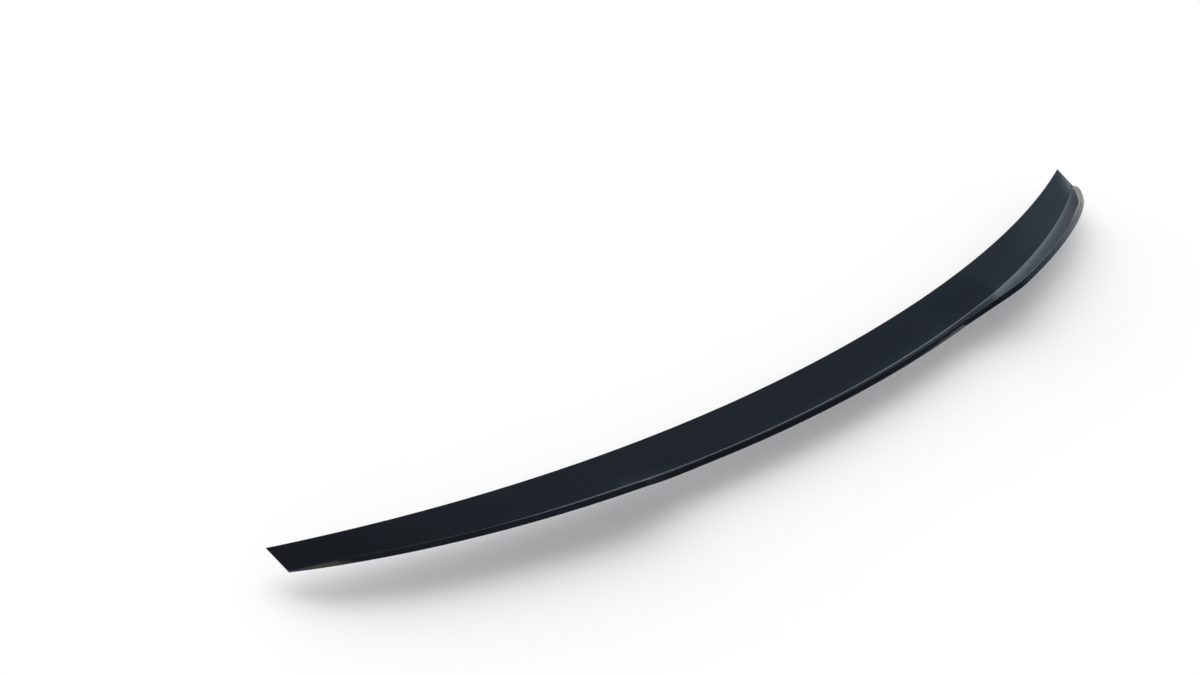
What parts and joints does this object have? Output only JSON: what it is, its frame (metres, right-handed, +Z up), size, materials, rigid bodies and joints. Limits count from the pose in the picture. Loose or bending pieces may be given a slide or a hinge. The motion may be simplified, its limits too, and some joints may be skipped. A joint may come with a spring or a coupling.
{
  "type": "car boot-lid spoiler",
  "caption": "Gloss black stick-on spoiler for a boot lid: a swept-forward moulding with a low middle, kicked-up outer wings and a foam-taped bond face under a red release liner.",
  "frame": {"origin": "middle of the heel, which is the rear edge of the bond face, on the car's centre plane; the whole heel lies in the plane Z = 0", "axes": "+X across the car along the spoiler's width, +Y towards the front of the car, +Z up as fitted on the lid"},
  "size_m": [1.2, 0.1694, 0.0302],
  "materials": {
    "body": "high-gloss black top, edges and under-face, with a bare matte grey bond face",
    "tape": "dark grey closed-cell acrylic foam, matte",
    "liner": "red film, satin"
  },
  "bodies": {
    "root": {"spoiler_body": "body", "foam_tape": "tape", "tape_liner": "liner"}
  },
  "joints": []
}
